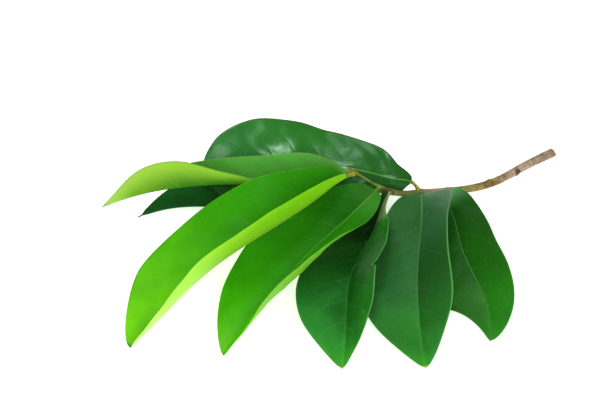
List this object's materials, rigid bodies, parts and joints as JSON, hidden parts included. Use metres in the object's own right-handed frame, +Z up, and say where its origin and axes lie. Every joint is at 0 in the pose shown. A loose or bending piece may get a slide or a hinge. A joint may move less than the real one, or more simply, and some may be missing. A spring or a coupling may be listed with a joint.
{
  "type": "soursop leaf sprig",
  "caption": "Cut sprig of soursop: a short brown woody twig with a fan of glossy folded leaves, dark green to bright yellow-green, lying on a surface.",
  "frame": {"origin": "on the surface that the sprig lies on, under the middle of its bounding box", "axes": "+X along the twig towards its cut end, +Y away from the tips of the front leaves, +Z up from the surface"},
  "size_m": [0.2164, 0.1321, 0.0426],
  "materials": {
    "twig_bark": "matt bark",
    "leaf_1_right_green": "glossy leaf",
    "leaf_2_front_green": "glossy leaf",
    "leaf_3_front_left_green": "glossy leaf",
    "leaf_4_left_green": "glossy leaf",
    "leaf_5_left_green": "glossy leaf",
    "leaf_6_tip_green": "glossy leaf",
    "leaf_7_back_green": "glossy leaf",
    "leaf_8_under_green": "glossy leaf"
  },
  "bodies": {
    "root": {"twig": "twig_bark", "leaf_1_right": "leaf_1_right_green", "leaf_2_front": "leaf_2_front_green", "leaf_3_front_left": "leaf_3_front_left_green", "leaf_4_left": "leaf_4_left_green", "leaf_5_left": "leaf_5_left_green", "leaf_6_tip": "leaf_6_tip_green", "leaf_7_back": "leaf_7_back_green", "leaf_8_under": "leaf_8_under_green"}
  },
  "joints": []
}
